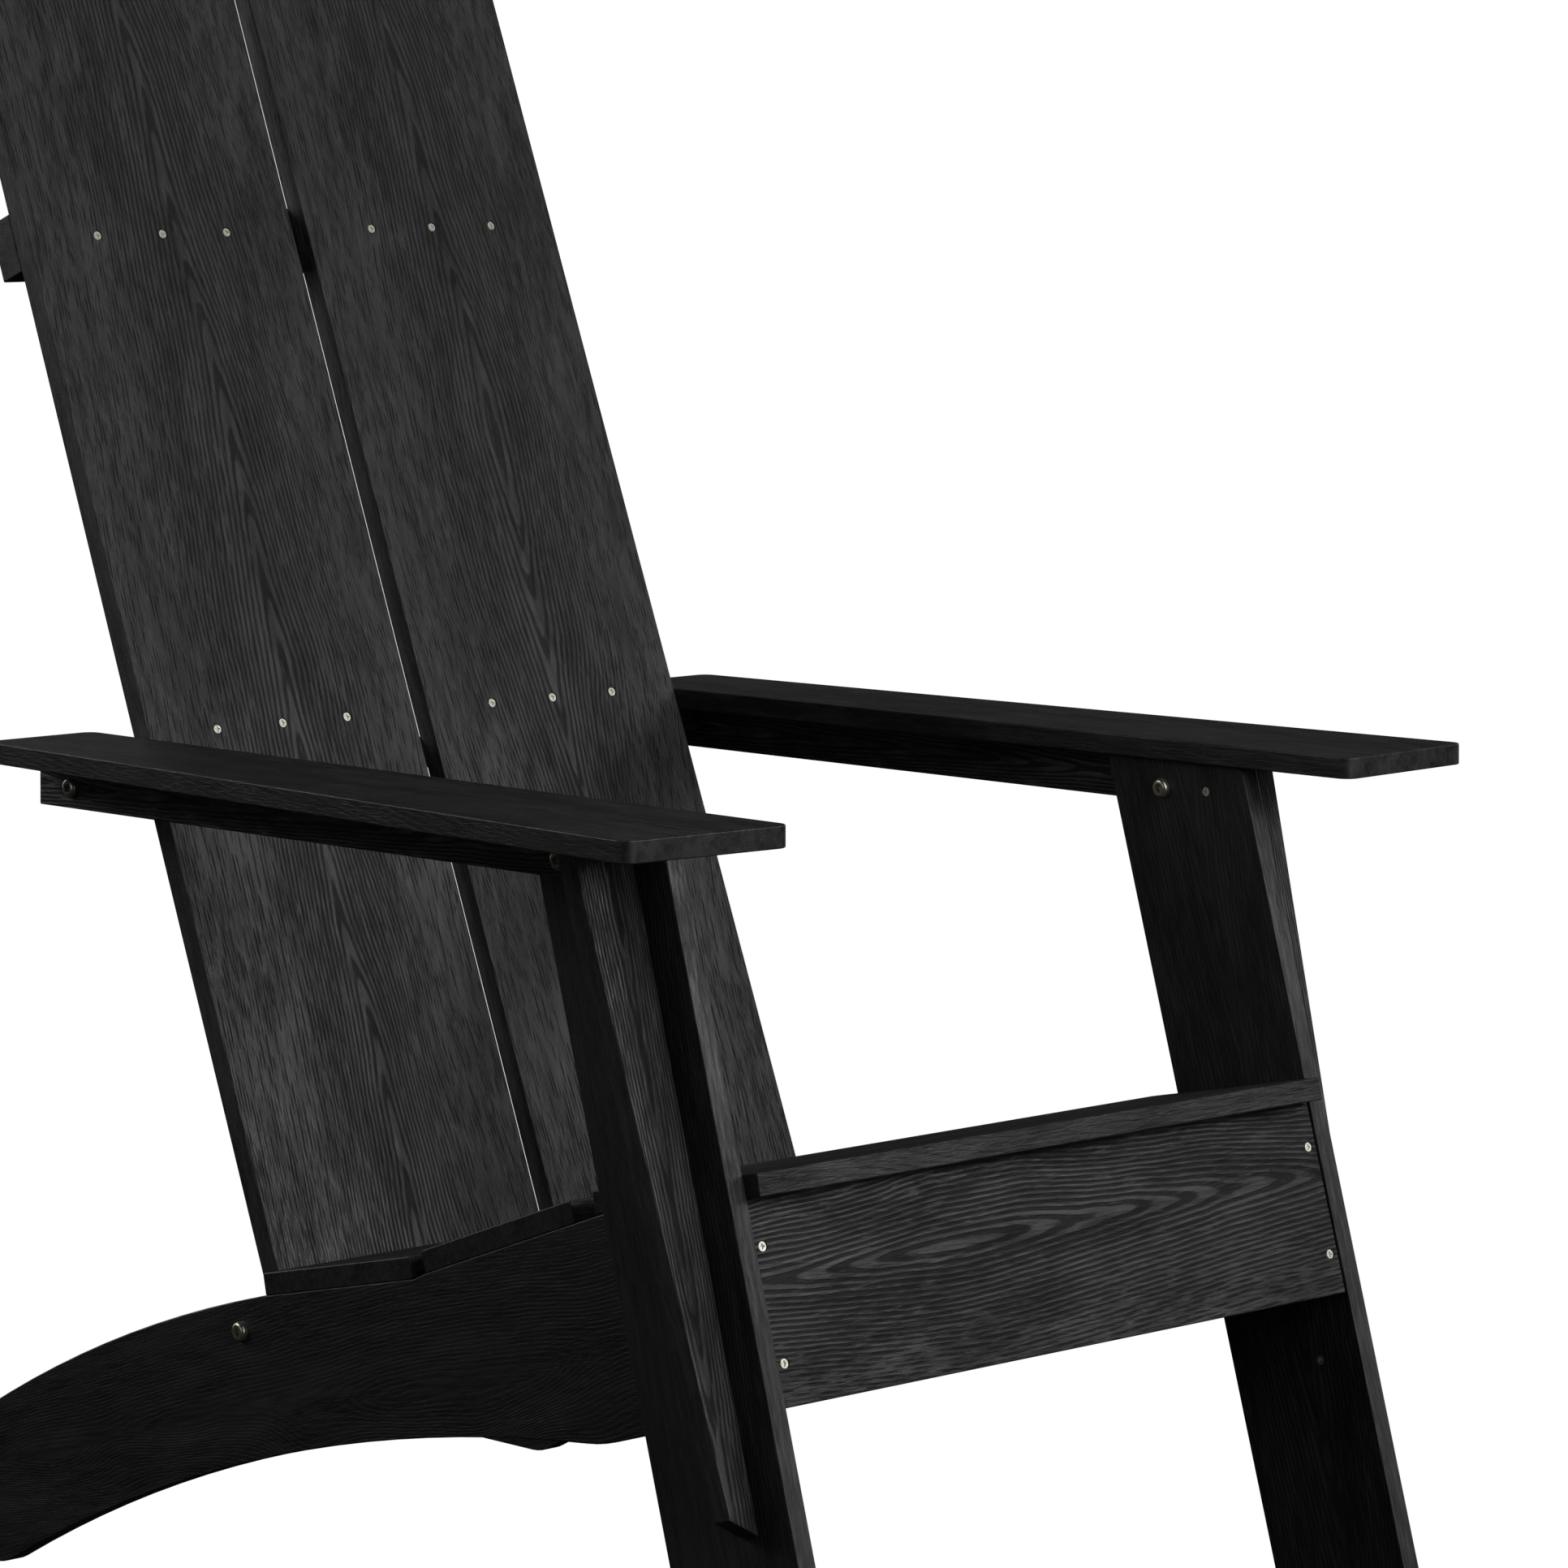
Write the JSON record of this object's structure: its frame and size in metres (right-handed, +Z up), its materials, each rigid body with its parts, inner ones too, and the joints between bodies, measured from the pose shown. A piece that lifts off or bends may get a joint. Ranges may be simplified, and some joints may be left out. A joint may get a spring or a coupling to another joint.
{
  "type": "adirondack chair",
  "caption": "Modern adirondack chair: wide flat back slats, flat tapering arms, curved seat rails that reach back to the floor, and bracketed raked front legs.",
  "frame": {"origin": "on the floor, under the middle of the chair's box in plan", "axes": "+Z up, the chair faces -Y, +X to the left of someone sitting in it, and X = 0 is the plane of symmetry"},
  "size_m": [0.8012, 0.9759, 1.1658],
  "materials": {
    "poly_lumber": "black poly lumber with an embossed wood grain",
    "screw_steel": "plain stainless, satin",
    "bolt_steel": "nickel-plated, semi-bright"
  },
  "bodies": {
    "root": {"back_slat_left": "poly_lumber", "back_slat_right": "poly_lumber", "upper_back_batten": "poly_lumber", "back_cleat_left": "poly_lumber", "back_cleat_right": "poly_lumber", "arm_level_back_rail": "poly_lumber", "lower_back_rail": "poly_lumber", "arm_left": "poly_lumber", "arm_right": "poly_lumber", "arm_apron_left": "poly_lumber", "arm_apron_right": "poly_lumber", "front_leg_left": "poly_lumber", "front_leg_right": "poly_lumber", "arm_bracket_left": "poly_lumber", "arm_bracket_right": "poly_lumber", "seat_rail_left": "poly_lumber", "seat_rail_right": "poly_lumber", "seat_slat_rear": "poly_lumber", "seat_slat_middle": "poly_lumber", "seat_slat_front": "poly_lumber", "front_apron": "poly_lumber", "back_slat_screws": "screw_steel", "cleat_screws": "screw_steel", "seat_slat_screws": "screw_steel", "front_apron_screws": "screw_steel", "arm_screws": "screw_steel", "bracket_screws": "screw_steel", "back_rail_bolts": "bolt_steel", "barrel_nuts": "bolt_steel", "leg_top_bolts": "bolt_steel", "leg_top_sleeve_nuts": "bolt_steel", "leg_rail_bolts": "bolt_steel", "leg_rail_sleeve_nuts": "bolt_steel"}
  },
  "joints": []
}
